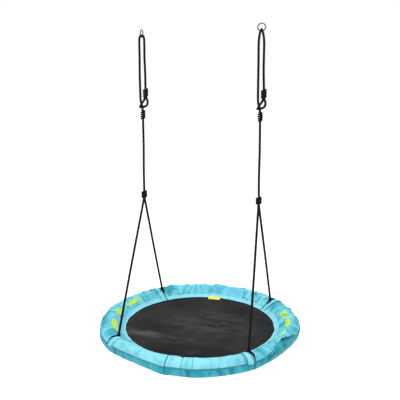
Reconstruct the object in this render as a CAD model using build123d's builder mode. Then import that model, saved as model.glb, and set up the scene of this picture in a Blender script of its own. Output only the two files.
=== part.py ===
import os
from math import cos, degrees, radians, sin

from build123d import *

# Saucer nest swing. Millimetres, +Z up, +X from the left ring to the right ring, +Y to the back.
# The origin is midway between the two ring hooks, and the seat hangs below it.

# Seat
outer_radius = 500.0
mat_visible_radius = 372.0
mat_radius = 380.0
mat_thickness = 3.5

# Frame
tube_centre_radius = 454.0
tube_outer = 12.5
tube_wall = 1.5
plug_gap = 0.3
plug_arc = 5.5
bolt_arc = 2.75
foam_outer = 27.0
foam_bore = 12.9
foam_pocket = 7.5
loop_room = 15.0
bolt_radius = 3.0
bolt_length = 34.0
bolt_head_radius = 5.2
bolt_head_height = 3.4
bolt_hole = 3.2
nut_radius = 5.6
nut_height = 5.0
joint_angles = (0.0, 90.0, 180.0, 270.0)

# Ropes
rope_radius = 5.0
rope_x = 288.0
loop_angle = 47.0
apex_height = 632.0
v_knot_bottom = -9.0
v_knot_top = 32.0
hitch_bottom = 1015.0
hitch_top = 1064.0
noose_bottom = 1120.0
noose_top = 1168.0
strand_offset = 13.0
noose_offset = 15.0
bight_drop = 34.0
noose_core = 8.5
noose_ridge = 8.4
hitch_core = 7.6
hitch_ridge = 7.3
v_knot_core = 9.6
v_knot_ridge = 9.3
eye_half = 10.4
eye_neck = 5.2
socket_slack = 0.45
loop_reach = 18.6

# Rings
ring_radius = 17.5
ring_wire = 2.5
pivot_height = 1424.0

# Slit in the cover at each leg rope
slit_centre = 458.0
slit_length = 52.0
slit_width = 15.0
flap_arc = 4.0
flap_start = 1.05

# Clearances
body_gap = 0.2
fit_gap = 0.3
sway_cut = 22.0
pitch_cut = 14.0

rim_height = -pivot_height
pivot_z = 0.0
sway_z = pivot_z - ring_radius
apex_z = rim_height + apex_height
knot_top_z = apex_z + v_knot_top

# The four cover panels meet at the leg ropes, and each rope comes up through a slit in that joint
slit_angles = (45.6, 134.4, 225.6, 314.4)
flap_sides = (-1, 1, 1, -1)
panel_names = ("back", "left", "front", "right")
corner_names = ("back_right", "back_left", "front_left", "front_right")
corner_signs = ((1, 1), (-1, 1), (-1, -1), (1, -1))

os.makedirs("parts", exist_ok=True)


def save(piece, name):
    piece.label = name
    export_step(piece, f"parts/{name}.step")


def radial_plane(angle, height=rim_height):
    """Plane whose local x runs outward at the angle and local y runs up."""
    a = radians(angle)
    return Plane(origin=(0, 0, height), x_dir=(cos(a), sin(a), 0), z_dir=(sin(a), -cos(a), 0))


def rope_along(points, radii):
    """Round rope swept along straight runs joined by tangent arcs."""
    with BuildLine() as route:
        if radii:
            FilletPolyline(*points, radius=radii)
        else:
            Line(*points)
    with BuildSketch(Plane(origin=route.line @ 0, z_dir=route.line % 0)) as section:
        Circle(rope_radius)
    with BuildPart() as rope:
        sweep(sections=section.sketch, path=route.line)
    return rope.part


def wrapped_barrel(centre_x, low, high, turns, core, ridge):
    """Rope wraps around a core, as stacked rounded ridges."""
    pitch = (high - low - 2 * rope_radius) / (turns - 1)
    with BuildPart() as barrel:
        with Locations((centre_x, 0, (low + high) / 2)):
            Cylinder(core, high - low)
        with Locations(*[(centre_x, 0, low + rope_radius + k * pitch) for k in range(turns)]):
            Torus(ridge, rope_radius)
    return barrel.part


def band_sector(outline, start, arc):
    """Closed outline in radius and height, turned about the seat axis."""
    with BuildSketch(radial_plane(start)) as section:
        with BuildLine():
            for kind, points in outline:
                if kind == "curve":
                    Spline(*points)
                else:
                    Polyline(*points)
        make_face()
    with BuildPart() as sector:
        revolve(section.sketch, axis=Axis.Z, revolution_arc=arc)
    return sector.part


# ---------------------------------------------------------------- rings

with BuildPart() as left_ring:
    with Locations(Location((-rope_x, 0, pivot_z), (0, 90, 0))):
        Torus(ring_radius, ring_wire)
save(left_ring.part, "left_ring")

with BuildPart() as right_ring:
    with Locations(Location((rope_x, 0, pivot_z + ring_radius), (90, 0, 0))):
        Torus(ring_radius, ring_wire)
save(right_ring.part, "right_ring")

# ---------------------------------------------------------------- hanging ropes

wire_lift = ring_wire + rope_radius + fit_gap

# Left bight stands across its ring, the two strands spreading left and right
left_bight_low = sway_z - bight_drop
left_bight = rope_along(
    [
        (-rope_x - strand_offset, 0, left_bight_low),
        (-rope_x - strand_offset + 1.5, 0, sway_z + wire_lift),
        (-rope_x + strand_offset - 1.5, 0, sway_z + wire_lift),
        (-rope_x + strand_offset, 0, left_bight_low),
    ],
    [10.5, 10.5],
)
save(left_bight, "left_rope_bight")

# Right bight stands front to back over its ring, then its strands turn sideways
right_route = [
    (rope_x - strand_offset, 0, pivot_z - 50.0),
    (rope_x - 10.5, -6.5, pivot_z - 17.0),
    (rope_x, -9.5, pivot_z + wire_lift),
    (rope_x, 9.5, pivot_z + wire_lift),
    (rope_x + 10.5, 6.5, pivot_z - 17.0),
    (rope_x + strand_offset, 0, pivot_z - 50.0),
]
with BuildPart() as below_bight:
    with Locations((rope_x, 0, sway_z - 50)):
        Box(80, 80, 100)
    with Locations(Location((rope_x, 0, sway_z), (90, 0, 0))):
        Cylinder(sway_cut - body_gap, 90, mode=Mode.SUBTRACT)
with BuildPart() as right_rope_bight:
    add(rope_along(right_route, [14.0, 7.5, 7.5, 14.0]))
    add(below_bight.part, mode=Mode.SUBTRACT)
save(right_rope_bight.part, "right_rope_bight")

strand_tops = (("left", -rope_x, left_bight_low - 2 * fit_gap, 4), ("right", rope_x, pivot_z - 30.0, 5))
for side, x, strand_high, turns in strand_tops:
    standing = rope_along(
        [
            (x, 0, rim_height + hitch_top + fit_gap),
            (x, 0, rim_height + hitch_top + 12.0),
            (x - 11.0, 0, rim_height + hitch_top + 36.0),
            (x - strand_offset, 0, strand_high),
        ],
        [16.0, 30.0],
    )
    noose_end = (x + noose_offset, 0, rim_height + noose_top + fit_gap)
    running = rope_along([noose_end, (x + strand_offset, 0, strand_high)], [])
    if side == "right":
        with BuildPart() as standing_cut:
            add(standing)
            with Locations(Location((x, 0, sway_z), (90, 0, 0))):
                Cylinder(sway_cut + body_gap, 80, mode=Mode.SUBTRACT)
        with BuildPart() as running_cut:
            add(running)
            with Locations(Location((x, 0, sway_z), (90, 0, 0))):
                Cylinder(sway_cut + body_gap, 80, mode=Mode.SUBTRACT)
        standing = standing_cut.part
        running = running_cut.part
    save(standing, f"{side}_standing_strand")
    save(running, f"{side}_running_strand")

    noose = wrapped_barrel(
        x + noose_offset, rim_height + noose_bottom, rim_height + noose_top, turns, noose_core, noose_ridge
    )
    save(noose, f"{side}_noose_knot")

    eye_top = rim_height + noose_bottom - fit_gap
    eye = rope_along(
        [
            (x + noose_offset, -eye_neck, eye_top),
            (x + noose_offset, -eye_neck, eye_top - 8.0),
            (x + 8.0, -eye_half, eye_top - 22.0),
            (x - 16.0, -eye_half, eye_top - 42.0),
            (x - 16.0, eye_half, eye_top - 42.0),
            (x + 8.0, eye_half, eye_top - 22.0),
            (x + noose_offset, eye_neck, eye_top - 8.0),
            (x + noose_offset, eye_neck, eye_top),
        ],
        [8.0, 10.0, 8.0, 8.0, 10.0, 8.0],
    )
    save(eye, f"{side}_noose_eye")

    hitch = wrapped_barrel(x, rim_height + hitch_bottom, rim_height + hitch_top, 4, hitch_core, hitch_ridge)
    save(hitch, f"{side}_lock_hitch")

    with BuildPart() as drop_rope:
        with Locations((x, 0, (knot_top_z + rim_height + hitch_bottom) / 2)):
            Cylinder(rope_radius, rim_height + hitch_bottom - knot_top_z)
        with Locations((x, 0, knot_top_z)):
            Sphere(rope_radius)
    save(drop_rope.part, f"{side}_drop_rope")

# ---------------------------------------------------------------- V-knots and legs

for side, x in (("left", -rope_x), ("right", rope_x)):
    with BuildPart() as foot_cutter:
        with Locations((x, 0, apex_z - 30)):
            Box(60, 60, 60)
        with Locations(Location((x, 0, apex_z), (0, 90, 0))):
            Cylinder(pitch_cut - body_gap, 70, mode=Mode.SUBTRACT)
    with BuildPart() as v_knot:
        add(wrapped_barrel(x, apex_z + v_knot_bottom, knot_top_z, 4, v_knot_core, v_knot_ridge))
        add(foot_cutter.part, mode=Mode.SUBTRACT)
        with Locations((x, 0, knot_top_z)):
            Sphere(rope_radius + socket_slack, mode=Mode.SUBTRACT)
    save(v_knot.part, f"{side}_v_knot")

loop_x = tube_centre_radius * cos(radians(loop_angle))
loop_y = tube_centre_radius * sin(radians(loop_angle))

for corner, (sx, sy) in zip(corner_names, corner_signs):
    foot = Vector(sx * loop_x, sy * loop_y, rim_height)
    apex = Vector(sx * rope_x, 0, apex_z)
    along = (apex - foot).normalized()
    leg_low = foot + along * (loop_reach + rope_radius + body_gap)
    with BuildPart() as leg_rope:
        add(rope_along([tuple(leg_low), tuple(apex - along * 4.0)], []))
        with Locations(Location((sx * rope_x, 0, apex_z), (0, 90, 0))):
            Cylinder(pitch_cut + body_gap, 60, mode=Mode.SUBTRACT)
    save(leg_rope.part, f"{corner}_leg_rope")

    tangent = Vector(-sy * sin(radians(loop_angle)), sx * cos(radians(loop_angle)), 0)
    normal = (tangent - along * tangent.dot(along)).normalized()
    loop_plane = Plane(origin=foot, x_dir=along, z_dir=normal)
    with BuildPart() as tube_loop:
        with Locations(loop_plane.location):
            Torus(loop_reach, rope_radius)
    save(tube_loop.part, f"{corner}_tube_loop")

# ---------------------------------------------------------------- frame tubes, bolts, nuts, foam

plug_outer = tube_outer - tube_wall - plug_gap
joint_names = ("right", "back", "left", "front")
for start, corner, joint in zip(joint_angles, corner_names, joint_names):
    with BuildSketch(radial_plane(start)) as tube_ring:
        with Locations((tube_centre_radius, 0)):
            Circle(tube_outer)
            Circle(tube_outer - tube_wall, mode=Mode.SUBTRACT)
    with BuildSketch(radial_plane(start)) as collar_ring:
        with Locations((tube_centre_radius, 0)):
            Circle(tube_outer)
            Circle(plug_outer - tube_wall, mode=Mode.SUBTRACT)
    with BuildSketch(radial_plane(start - plug_arc)) as plug_ring:
        with Locations((tube_centre_radius, 0)):
            Circle(plug_outer)
            Circle(plug_outer - tube_wall, mode=Mode.SUBTRACT)
    far_bolt = radians(start + 90.0 - bolt_arc)
    near_bolt = radians(start - bolt_arc)
    bolt_spots = [
        (tube_centre_radius * cos(a), tube_centre_radius * sin(a), rim_height) for a in (near_bolt, far_bolt)
    ]
    with BuildPart() as frame_tube:
        revolve(tube_ring.sketch, axis=Axis.Z, revolution_arc=89.96)
        revolve(collar_ring.sketch, axis=Axis.Z, revolution_arc=1.5)
        revolve(plug_ring.sketch, axis=Axis.Z, revolution_arc=plug_arc + 0.2)
        with Locations(*bolt_spots):
            Cylinder(bolt_hole, 40, mode=Mode.SUBTRACT)
    save(frame_tube.part, f"{corner}_frame_tube")

    bolt_x, bolt_y, bolt_z = bolt_spots[0]
    with BuildPart() as joint_bolt:
        with Locations((bolt_x, bolt_y, bolt_z - 2.0)):
            Cylinder(bolt_radius, bolt_length)
        with Locations((bolt_x, bolt_y, bolt_z + tube_outer + 0.1 + bolt_head_height / 2)):
            Cylinder(bolt_head_radius, bolt_head_height)
        fillet(joint_bolt.edges().group_by(Axis.Z)[-1], 1.5)
    save(joint_bolt.part, f"{joint}_joint_bolt")

    with BuildSketch(Plane(origin=(bolt_x, bolt_y, bolt_z - tube_outer - nut_height - 0.1))) as nut_outline:
        RegularPolygon(nut_radius, 6)
        Circle(bolt_radius + 0.05, mode=Mode.SUBTRACT)
    with BuildPart() as joint_nut:
        extrude(nut_outline.sketch, amount=nut_height)
    save(joint_nut.part, f"{joint}_joint_nut")

loop_spots = (-loop_angle, loop_angle, 180.0 - loop_angle, 180.0 + loop_angle, 360.0 - loop_angle)
loop_clear = degrees(loop_room / tube_centre_radius)
for k, joint in enumerate(joint_names):
    foam_start = loop_spots[k] + loop_clear
    foam_arc = loop_spots[k + 1] - loop_spots[k] - 2 * loop_clear
    bolt_angle = radians(joint_angles[k] - bolt_arc)
    with BuildSketch(radial_plane(foam_start)) as foam_ring:
        with Locations((tube_centre_radius, 0)):
            Circle(foam_outer)
            Circle(foam_bore, mode=Mode.SUBTRACT)
    with BuildPart() as foam_sleeve:
        revolve(foam_ring.sketch, axis=Axis.Z, revolution_arc=foam_arc)
        with Locations(
            (tube_centre_radius * cos(bolt_angle), tube_centre_radius * sin(bolt_angle), rim_height - 1.5)
        ):
            Cylinder(foam_pocket, 38.0, mode=Mode.SUBTRACT)
    save(foam_sleeve.part, f"{joint}_foam_sleeve")

# ---------------------------------------------------------------- mat

mat_top = -15.0
with BuildPart() as seat_mat:
    with Locations((0, 0, rim_height + mat_top - mat_thickness / 2)):
        Cylinder(mat_radius, mat_thickness)
save(seat_mat.part, "seat_mat")

# ---------------------------------------------------------------- cover, as radius and height

seam_high = 3.0
seam_low = -34.0
tongue_top = mat_top + fit_gap + 3.0
top_outer = [
    (384, tongue_top + 3.0), (402, 2.9), (422, 15.8), (438, 26.2), (454, 31.2), (470, 30), (485, 22.5),
    (498.5, seam_high),
]
top_inner = [
    (495.5, seam_high), (482.9, 20.3), (468.6, 27.2), (454.2, 28.2), (439.8, 23.8), (423.8, 13.4),
    (403.7, 0.6), (385, tongue_top),
]
top_outline = [
    ("curve", top_outer),
    ("line", [top_outer[-1], top_inner[0]]),
    ("curve", top_inner),
    (
        "line",
        [
            top_inner[-1],
            (384, mat_top + fit_gap),
            (mat_visible_radius, mat_top + fit_gap),
            (mat_visible_radius, tongue_top),
            top_outer[0],
        ],
    ),
]
side_outer = [(498.5, seam_high - fit_gap), (outer_radius, -9), (498.5, -21), (492.5, seam_low)]
side_inner = [(489.5, seam_low), (495.5, -20.5), (497, -9), (495.5, seam_high - fit_gap)]
side_outline = [
    ("curve", side_outer),
    ("line", [side_outer[-1], side_inner[0]]),
    ("curve", side_inner),
    ("line", [side_inner[-1], side_outer[0]]),
]
under_high = mat_top - mat_thickness - fit_gap
under_low = under_high - 3.0
under_outer = [
    (492.5, seam_low - fit_gap), (476, -39), (452, -39.5), (424, -34), (404, -27.5), (384, under_low)
]
under_inner = [
    (385, under_high), (405.2, -24.7), (425.2, -31.1), (452, -36.5), (474.8, -36.1),
    (489.5, seam_low - fit_gap),
]
under_outline = [
    ("curve", under_outer),
    (
        "line",
        [
            under_outer[-1],
            (mat_visible_radius, under_low),
            (mat_visible_radius, under_high),
            under_inner[0],
        ],
    ),
    ("curve", under_inner),
    ("line", [under_inner[-1], under_outer[0]]),
]

joint_gap = degrees(fit_gap / mat_visible_radius)
slit_boxes = [
    Location((slit_centre * cos(radians(a)), slit_centre * sin(radians(a)), rim_height + 30.0), (0, 0, a))
    for a in slit_angles
]
for k, name in enumerate(panel_names):
    start = slit_angles[k] + joint_gap / 2
    arc = (slit_angles[(k + 1) % 4] - slit_angles[k]) % 360.0 - joint_gap
    with BuildPart() as cover_top:
        add(band_sector(top_outline, start, arc))
        with Locations(*slit_boxes):
            Box(slit_length, slit_width, 30.0, mode=Mode.SUBTRACT)
    save(cover_top.part, f"cover_top_{name}")
    save(band_sector(side_outline, start, arc), f"cover_side_{name}")

cover_underside = band_sector(under_outline, 0, 360.0)
save(cover_underside, "cover_underside")

# ---------------------------------------------------------------- flaps beside the slits, label tab

flap_low = [
    (402.7, 4.0), (421.7, 16.6), (437.7, 27.0), (454, 31.9), (470.3, 30.7), (485.5, 23.0), (498.9, 6)
]
flap_high = [
    (500.9, 6), (487.1, 24.3), (471.0, 32.6), (454, 33.9), (436.8, 28.9), (420.6, 18.3), (401.5, 5.7)
]
flap_outline = [
    ("curve", flap_low),
    ("line", [flap_low[-1], flap_high[0]]),
    ("curve", flap_high),
    ("line", [flap_high[-1], flap_low[0]]),
]
for slit, turn, corner in zip(slit_angles, flap_sides, corner_names):
    start = slit + flap_start if turn > 0 else slit - flap_start - flap_arc
    save(band_sector(flap_outline, start, flap_arc), f"{corner}_slit_flap")

tab_low = mat_top + fit_gap
tab_high = mat_top + 1.5
tab_corners = [(359, tab_low), (371.7, tab_low), (371.7, tab_high), (359, tab_high), (359, tab_low)]
save(band_sector([("line", tab_corners)], 87.2, 10.6), "label_tab")
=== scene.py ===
import math

import bmesh
import bpy
import numpy as np
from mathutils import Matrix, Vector, noise


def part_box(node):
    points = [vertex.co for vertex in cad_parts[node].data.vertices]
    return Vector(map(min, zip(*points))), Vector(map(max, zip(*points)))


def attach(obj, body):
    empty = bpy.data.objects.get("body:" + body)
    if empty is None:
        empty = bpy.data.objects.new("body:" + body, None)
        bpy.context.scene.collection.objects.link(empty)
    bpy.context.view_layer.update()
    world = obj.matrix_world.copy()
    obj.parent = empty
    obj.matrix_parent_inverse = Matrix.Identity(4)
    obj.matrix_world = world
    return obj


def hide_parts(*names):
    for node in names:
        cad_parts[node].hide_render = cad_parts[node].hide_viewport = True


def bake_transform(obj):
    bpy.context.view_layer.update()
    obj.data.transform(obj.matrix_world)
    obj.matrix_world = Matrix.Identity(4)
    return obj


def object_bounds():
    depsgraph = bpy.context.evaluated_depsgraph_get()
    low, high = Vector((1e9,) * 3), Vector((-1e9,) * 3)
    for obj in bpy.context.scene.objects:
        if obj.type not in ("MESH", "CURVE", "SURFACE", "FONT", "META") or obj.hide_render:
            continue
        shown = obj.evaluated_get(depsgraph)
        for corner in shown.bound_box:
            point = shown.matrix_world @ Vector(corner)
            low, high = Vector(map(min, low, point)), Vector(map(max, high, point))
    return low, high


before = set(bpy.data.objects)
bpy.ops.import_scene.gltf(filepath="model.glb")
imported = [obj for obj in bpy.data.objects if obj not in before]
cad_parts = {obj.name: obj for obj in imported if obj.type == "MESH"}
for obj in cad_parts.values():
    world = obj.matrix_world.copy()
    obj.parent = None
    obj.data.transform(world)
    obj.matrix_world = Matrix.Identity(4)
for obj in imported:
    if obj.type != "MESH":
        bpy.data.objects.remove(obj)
cad_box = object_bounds()


# ---- places read from the frame


def middle(node):
    low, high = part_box(node)
    return (low + high) / 2


def span_z(node):
    low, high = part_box(node)
    return low.z, high.z


rim_z = middle("back_foam_sleeve").z
rope_x = middle("right_v_knot").x
mat_z = span_z("seat_mat")[1]
mat_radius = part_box("seat_mat")[1].x
knot_top_z = span_z("left_v_knot")[1]
apex_z = knot_top_z - 0.032
hitch_low, hitch_high = span_z("left_lock_hitch")
noose_low, noose_high = span_z("left_noose_knot")
ring_radius = 0.0175
sway_z = -ring_radius

# ---- driving sizes, in metres

rope_radius = 0.0056
wrap_radius = 0.0044
thread_radius = 0.0020
noose_coil, hitch_coil, knot_coil = 0.0094, 0.0083, 0.0103
strand_offset = 0.013
noose_offset = 0.015
tube_centre = 0.454
foam_radius = 0.027
foam_bore = 0.0129
slit_angles = (45.6, 134.4, 225.6, 314.4)
slit_near, slit_far, slit_half = 0.412, 0.490, 0.0085
band_end = 0.398
seam_height = 0.003
cloth_depth = 0.0016
gather_scale = 0.026
gather_lean = 2.2
most_settling = 0.014
edge_rise = 0.55
sides = ("back", "left", "front", "right")

# Cover profile from the edge of the mat over the foam and down to the bottom seam: radius, height from the rim
profile_knots = (
    (0.3720, -0.0125),
    (0.3840, -0.0086),
    (0.4020, 0.0030),
    (0.4220, 0.0158),
    (0.4380, 0.0260),
    (0.4540, 0.0308),
    (0.4700, 0.0298),
    (0.4850, 0.0222),
    (0.4985, 0.0030),
    (0.4996, -0.0090),
    (0.4980, -0.0210),
    (0.4925, -0.0335),
)
under_knots = (
    (0.4925, -0.0345),
    (0.4760, -0.0388),
    (0.4520, -0.0393),
    (0.4240, -0.0338),
    (0.4040, -0.0273),
    (0.3840, -0.0217),
    (0.3720, -0.0205),
)


hem_radius, mat_edge = under_knots[0][0], under_knots[-1][0]


def rim_length(angle):
    """Metres along the frame tube that an angle in degrees covers."""
    return angle * math.pi / 180 * tube_centre


def on_rim(rows):
    """The same rows, with their first number turned from degrees to metres along the frame tube."""
    return [(rim_length(first), *rest) for first, *rest in rows]


# ---- camera and light


def make_camera():
    azimuth, elevation, pitch = math.radians(15.25), math.radians(23.57), math.radians(10.08)
    distance = 3.078
    seat = Vector((0, 0, rim_z))
    away = Vector(
        (
            math.sin(azimuth) * math.cos(elevation),
            -math.cos(azimuth) * math.cos(elevation),
            math.sin(elevation),
        )
    )
    look = Vector(
        (-math.sin(azimuth) * math.cos(pitch), math.cos(azimuth) * math.cos(pitch), -math.sin(pitch))
    )
    data = bpy.data.cameras.new("camera")
    data.sensor_width = 36.0
    data.lens = 53.3
    data.shift_y = -0.05
    camera = bpy.data.objects.new("camera", data)
    camera.location = seat + away * distance
    camera.rotation_mode = "QUATERNION"
    camera.rotation_quaternion = look.to_track_quat("-Z", "Y")
    bpy.context.collection.objects.link(camera)
    bpy.context.scene.camera = camera


def area_light(name, place, aim, size, power):
    data = bpy.data.lights.new(name, "AREA")
    data.size = size
    data.energy = power
    lamp = bpy.data.objects.new(name, data)
    lamp.location = place
    lamp.rotation_mode = "QUATERNION"
    lamp.rotation_quaternion = (Vector(aim) - Vector(place)).to_track_quat("-Z", "Y")
    bpy.context.collection.objects.link(lamp)


def make_light():
    world = bpy.data.worlds.new("studio")
    world.use_nodes = True
    tree = world.node_tree
    fill = tree.nodes["Background"]
    fill.inputs["Color"].default_value = (0.97, 0.99, 1.0, 1.0)
    fill.inputs["Strength"].default_value = 0.48
    seen = tree.nodes.new("ShaderNodeBackground")
    seen.inputs["Color"].default_value = (1.0, 1.0, 1.0, 1.0)
    rays = tree.nodes.new("ShaderNodeLightPath")
    either = tree.nodes.new("ShaderNodeMixShader")
    tree.links.new(rays.outputs["Is Camera Ray"], either.inputs[0])
    tree.links.new(fill.outputs[0], either.inputs[1])
    tree.links.new(seen.outputs[0], either.inputs[2])
    tree.links.new(either.outputs[0], tree.nodes["World Output"].inputs["Surface"])
    bpy.context.scene.world = world
    bpy.context.scene.view_settings.view_transform = "Standard"
    seat = (0, 0, rim_z)
    area_light("key", (-0.4, -1.8, 1.5), seat, 0.9, 52.0)
    area_light("top", (0.2, 0.3, 1.5), seat, 0.8, 50.0)


# ---- node helper


class Look:
    """A Principled material, with the few node kinds that the finishes below use."""

    def __init__(self, name, **sockets):
        self.material = bpy.data.materials.new(name)
        self.material.use_nodes = True
        self.tree = self.material.node_tree
        self.shader = self.tree.nodes["Principled BSDF"]
        for socket, value in sockets.items():
            self.shader.inputs[socket.replace("_", " ")].default_value = value

    def node(self, kind, **settings):
        made = self.tree.nodes.new("ShaderNode" + kind)
        for key, value in settings.items():
            setattr(made, key, value)
        return made

    def join(self, source, socket):
        if isinstance(source, (int, float)):
            socket.default_value = source
        else:
            self.tree.links.new(source, socket)

    def coords(self, output, scale=(1, 1, 1), turn=0.0):
        mapping = self.node("Mapping")
        mapping.inputs["Scale"].default_value = scale
        mapping.inputs["Rotation"].default_value = (0, 0, math.radians(turn))
        self.join(self.node("TexCoord").outputs[output], mapping.inputs["Vector"])
        return mapping.outputs["Vector"]

    def parts(self, vector):
        split = self.node("SeparateXYZ")
        self.join(vector, split.inputs[0])
        return split.outputs

    def noise(self, vector, size, detail=2.0, roughness=0.5, warp=0.0):
        made = self.node("TexNoise")
        self.join(vector, made.inputs["Vector"])
        made.inputs["Scale"].default_value = 1.0 / size
        made.inputs["Detail"].default_value = detail
        made.inputs["Roughness"].default_value = roughness
        made.inputs["Distortion"].default_value = warp
        return made.outputs[0]

    def wave(self, vector, period, direction, warp=0.0):
        made = self.node("TexWave", bands_direction=direction)
        self.join(vector, made.inputs["Vector"])
        made.inputs["Scale"].default_value = math.tau / 20 / period
        made.inputs["Distortion"].default_value = warp
        return made.outputs["Fac"]

    def calc(self, operation, a, b=0.0, c=0.0):
        made = self.node("Math", operation=operation)
        for value, socket in zip((a, b, c), made.inputs):
            self.join(value, socket)
        return made.outputs[0]

    def ramp(self, value, stops):
        made = self.node("ValToRGB")
        self.join(value, made.inputs["Fac"])
        ramp = made.color_ramp
        while len(ramp.elements) < len(stops):
            ramp.elements.new(1.0)
        for element, (place, colour) in zip(ramp.elements, stops):
            element.position = place
            element.color = (*colour, 1.0) if isinstance(colour, tuple) else (colour, colour, colour, 1.0)
        return made.outputs["Color"]

    def cloud(self, vector, size, dark, light, detail=2.0, roughness=0.5, low=0.3, high=0.7):
        """Cloudy noise, and the colour that it gives between a dark and a light tone."""
        tone = self.noise(vector, size, detail, roughness)
        return tone, self.ramp(tone, ((low, dark), (high, light)))

    def mix(self, share, a, b):
        made = self.node("Mix", data_type="RGBA")
        self.join(share, made.inputs[0])
        for value, socket in ((a, made.inputs[6]), (b, made.inputs[7])):
            if isinstance(value, tuple):
                socket.default_value = (*value, 1.0)
            else:
                self.join(value, socket)
        return made.outputs[2]

    def fade(self, value, low, high, start=0.0, end=1.0):
        made = self.node("MapRange", interpolation_type="SMOOTHSTEP")
        self.join(value, made.inputs["Value"])
        for place, number in zip((1, 2, 3, 4), (low, high, start, end)):
            made.inputs[place].default_value = number
        return made.outputs["Result"]

    def away(self, value, line):
        return self.calc("ABSOLUTE", self.calc("SUBTRACT", value, line))

    def spread(self, along, across, centre, half_length, across_centre, half_width):
        """Distance from a place on the cloth, which is 1 on an oval round it."""
        dx = self.calc("DIVIDE", self.calc("SUBTRACT", along, centre), half_length)
        dy = self.calc("DIVIDE", self.calc("SUBTRACT", across, across_centre), half_width)
        return self.calc("SQRT", self.calc("MULTIPLY_ADD", dx, dx, self.calc("MULTIPLY", dy, dy)))

    def bump(self, height, depth, strength=1.0, under=None):
        made = self.node("Bump")
        made.inputs["Strength"].default_value = strength
        made.inputs["Distance"].default_value = depth
        self.join(height, made.inputs["Height"])
        if under is not None:
            self.join(under, made.inputs["Normal"])
        return made.outputs["Normal"]

    def finish(self, colour=None, roughness=None, normal=None):
        for source, name in ((colour, "Base Color"), (roughness, "Roughness"), (normal, "Normal")):
            if source is not None:
                self.join(source, self.shader.inputs[name])
        return self.material


# ---- finishes


def plain_weave(look, cloth, period):
    """Threads over and under each other, as a height from 0 to 1."""
    warp = look.wave(cloth, period, "X")
    weft = look.wave(cloth, period, "Y")
    return look.calc("MULTIPLY_ADD", look.calc("SUBTRACT", warp, 0.5), look.calc("SUBTRACT", weft, 0.5), 0.5)


# Sleeve tones: the lit turquoise is a painted light tone for the ridges of gathers and the facing bands, and the
# shaded turquoise a painted shade tone for hollows, folds and the weave's gaps. The teal tones are the side fabric's
# darker colour, partly its own and partly painted shade on the outer wall; the deepest teal also paints the shadow
# lines along seams.
turquoise_lit = (0.250, 0.675, 0.780)
turquoise = (0.135, 0.545, 0.645)
turquoise_shade = (0.022, 0.290, 0.360)
teal = (0.022, 0.330, 0.420)
teal_shade = (0.010, 0.120, 0.165)
lime = (0.500, 0.760, 0.045)
sky = (0.120, 0.450, 0.720)


def fabric(name, light, middle_tone, shade_tone, seam_shadows=(), shadows=(), band=None, strokes=()):
    """Coated polyester: plain weave and gathers, with painted shade in the gathers' hollows and the weave's gaps and
    painted light on the gathers' ridges, a facing band beside the mat painted paler as painted light, painted shadow
    lines at seams, painted shadows and printed strokes.

    A seam shadow is an axis, a centre, a half width and a share. A shadow or a stroke is a centre, a half length, a
    distance across and a half width, and then its share, or its lime and blue shares.
    """
    look = Look(name, Specular_IOR_Level=0.14)
    cloth = look.coords("UV")
    along, across, _ = look.parts(cloth)
    folds = look.noise(look.coords("UV", (1.0, 0.42, 1), 16.0), 0.042, 3.0, 0.55, 0.9)
    soft = look.noise(cloth, 0.070, 2.0)
    # Painted shade and light: the fold noise, which also bumps the creases, darkens their hollows and lightens their
    # ridges.
    colour = look.ramp(folds, ((0.33, shade_tone), (0.48, middle_tone), (0.64, light)))
    colour = look.mix(look.fade(soft, 0.35, 0.65, 0.05, 0.50), colour, middle_tone)
    if band is not None:
        # Painted light: the smooth facing band beside the mat takes the lit tone, with a thin painted shade line
        # along its edge.
        inner = look.fade(across, band - 0.003, band + 0.003, 0.92, 0.0)
        colour = look.mix(inner, colour, light)
        colour = look.mix(look.fade(look.away(across, band), 0.0005, 0.0035, 0.45, 0.0), colour, shade_tone)
    # Painted shadow lines along the seams.
    for axis, centre, half, share in seam_shadows:
        reach = look.away(along if axis == "along" else across, centre)
        colour = look.mix(look.fade(reach, half * 0.35, half, share, 0.0), colour, teal_shade)
    for *oval, share in shadows:
        far = look.spread(along, across, *oval)
        ragged = look.calc("MULTIPLY_ADD", look.calc("SUBTRACT", folds, 0.5), 1.6, far)
        colour = look.mix(look.fade(ragged, 0.3, 1.0, share, 0.0), colour, shade_tone)
    weave = plain_weave(look, cloth, 0.0012)
    # Painted shade in the low spots of the weave, between the threads.
    colour = look.mix(look.calc("MULTIPLY", look.calc("SUBTRACT", 1.0, weave), 0.14), colour, shade_tone)
    if strokes:
        ragged = look.calc("SUBTRACT", look.noise(cloth, 0.024, 3.0, 0.6, 0.4), 0.5)
        shade = look.calc("SUBTRACT", look.noise(cloth, 0.030, 2.0, 0.5, 0.5), 0.5)
    for *oval, lime_share, blue_share in strokes:
        far = look.spread(along, across, *oval)
        if blue_share:
            blue_far = look.calc("ADD", look.calc("MULTIPLY", far, 0.62), look.calc("MULTIPLY", shade, 1.2))
            colour = look.mix(look.fade(blue_far, 0.35, 0.95, blue_share, 0.0), colour, sky)
        if lime_share:
            lime_far = look.calc("ADD", far, look.calc("MULTIPLY", ragged, 2.6))
            colour = look.mix(look.fade(lime_far, 0.55, 1.15, lime_share, 0.0), colour, lime)
    creases = look.bump(folds, 0.0220, 0.9)
    rough = look.fade(soft, 0.3, 0.7, 0.52, 0.66)
    return look.finish(colour, rough, look.bump(weave, 0.00018, 0.5, creases))


def rope_look():
    """Braided black polyethylene: fine fibres along each strand and dusty high spots."""
    look = Look("rope_braid", Specular_IOR_Level=0.06)
    cloth = look.coords("UV")
    fibres = look.wave(cloth, 0.00045, "DIAGONAL", 1.5)
    worn, colour = look.cloud(cloth, 0.004, (0.0035, 0.0035, 0.004), (0.014, 0.0135, 0.014), 3.0, 0.6, high=0.75)
    return look.finish(colour, look.fade(worn, 0.3, 0.7, 0.42, 0.62), look.bump(fibres, 0.00012, 0.6))


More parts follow.
